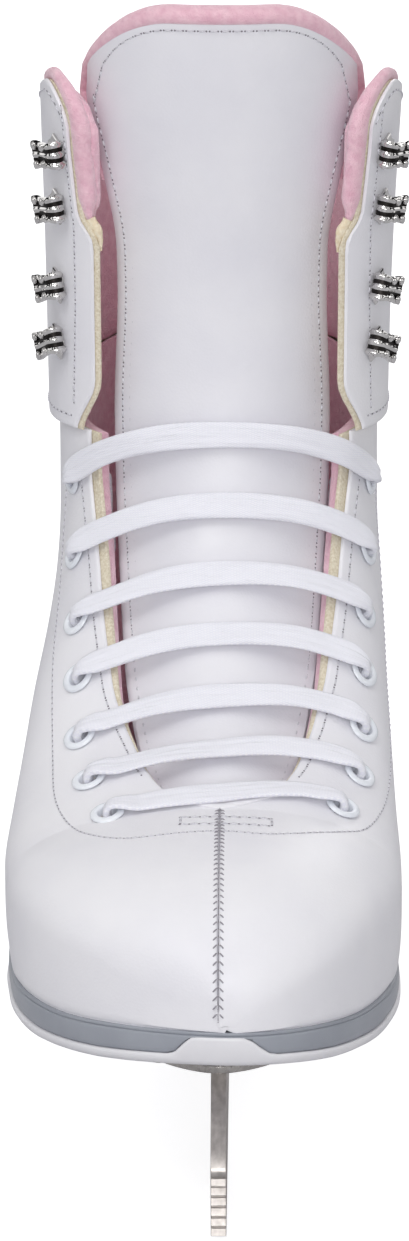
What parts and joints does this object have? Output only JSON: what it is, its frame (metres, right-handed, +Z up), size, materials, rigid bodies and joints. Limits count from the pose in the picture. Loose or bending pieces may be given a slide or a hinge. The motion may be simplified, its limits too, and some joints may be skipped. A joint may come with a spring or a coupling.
{
  "type": "ice skate",
  "caption": "White lace-up figure skate with a padded tongue, speed hooks on two opening flaps, a moulded sole and a screwed-on steel blade with a toe pick.",
  "frame": {"origin": "middle of the running edge, on the ice", "axes": "+Z up along the leg, -Y forwards to the toe, +X towards the big-toe side of the right foot"},
  "size_m": [0.104, 0.262, 0.2899],
  "materials": {
    "vinyl": "smooth coated",
    "tongue_vinyl": "smooth coated",
    "plush": "brushed plush",
    "fibreboard": "matt",
    "enamel": "gloss enamel",
    "chrome": "polished",
    "lace": "flat woven",
    "aglet": "clear gloss",
    "steel": "ground",
    "screw_steel": "plated",
    "grey_sole": "satin",
    "white_sole": "satin"
  },
  "bodies": {
    "boot": {"upper_lateral": "vinyl", "lining_lateral": "plush", "upper_medial": "vinyl", "lining_medial": "plush", "heel_counter": "fibreboard", "toe_puff": "fibreboard", "cuff": "vinyl", "cuff_lining": "plush", "tongue_lower": "tongue_vinyl", "tongue_pad_lower": "plush", "eyelet_lateral_1": "enamel", "eyelet_lateral_2": "enamel", "eyelet_lateral_3": "enamel", "eyelet_lateral_4": "enamel", "eyelet_lateral_5": "enamel", "eyelet_lateral_6": "enamel", "eyelet_lateral_7": "enamel", "eyelet_medial_1": "enamel", "eyelet_medial_2": "enamel", "eyelet_medial_3": "enamel", "eyelet_medial_4": "enamel", "eyelet_medial_5": "enamel", "eyelet_medial_6": "enamel", "eyelet_medial_7": "enamel", "lace": "lace", "aglet_medial": "aglet", "aglet_lateral": "aglet", "insole_board": "fibreboard", "footbed": "plush", "shank": "steel", "midsole": "grey_sole", "outsole": "white_sole", "heel": "grey_sole", "sole_plate": "steel", "heel_plate": "steel", "blade": "steel", "front_screw_1": "screw_steel", "front_screw_2": "screw_steel", "front_screw_3": "screw_steel", "front_screw_4": "screw_steel", "front_screw_5": "screw_steel", "front_screw_6": "screw_steel", "heel_screw_1": "screw_steel", "heel_screw_2": "screw_steel", "heel_screw_3": "screw_steel", "heel_screw_4": "screw_steel"},
    "tongue": {"tongue_upper": "tongue_vinyl", "tongue_pad_upper": "plush"},
    "flap_lateral": {"flap_lateral": "vinyl", "flap_lining_lateral": "plush", "hook_lateral_1": "chrome", "hook_lateral_2": "chrome", "hook_lateral_3": "chrome", "hook_lateral_4": "chrome"},
    "flap_medial": {"flap_medial": "vinyl", "flap_lining_medial": "plush", "hook_medial_1": "chrome", "hook_medial_2": "chrome", "hook_medial_3": "chrome", "hook_medial_4": "chrome"}
  },
  "joints": [
    {"name": "tongue_forward", "type": "hinge", "parent": "boot", "child": "tongue", "pos_m": [0, 0.0215, 0.181], "axis": [1, 0, 0], "range_deg": [0, 20]},
    {"name": "flap_lateral_spread", "type": "hinge", "parent": "boot", "child": "flap_lateral", "pos_m": [-0.0486, 0.064, 0.21], "axis": [0, 0, -1], "range_deg": [0, 50]},
    {"name": "flap_medial_spread", "type": "hinge", "parent": "boot", "child": "flap_medial", "pos_m": [0.0486, 0.064, 0.21], "axis": [0, 0, 1], "range_deg": [0, 50]}
  ],
  "couplings": [
    {"joint": "flap_lateral_spread", "follows": "tongue_forward", "ratio": 2.5},
    {"joint": "flap_medial_spread", "follows": "tongue_forward", "ratio": 2.5}
  ]
}
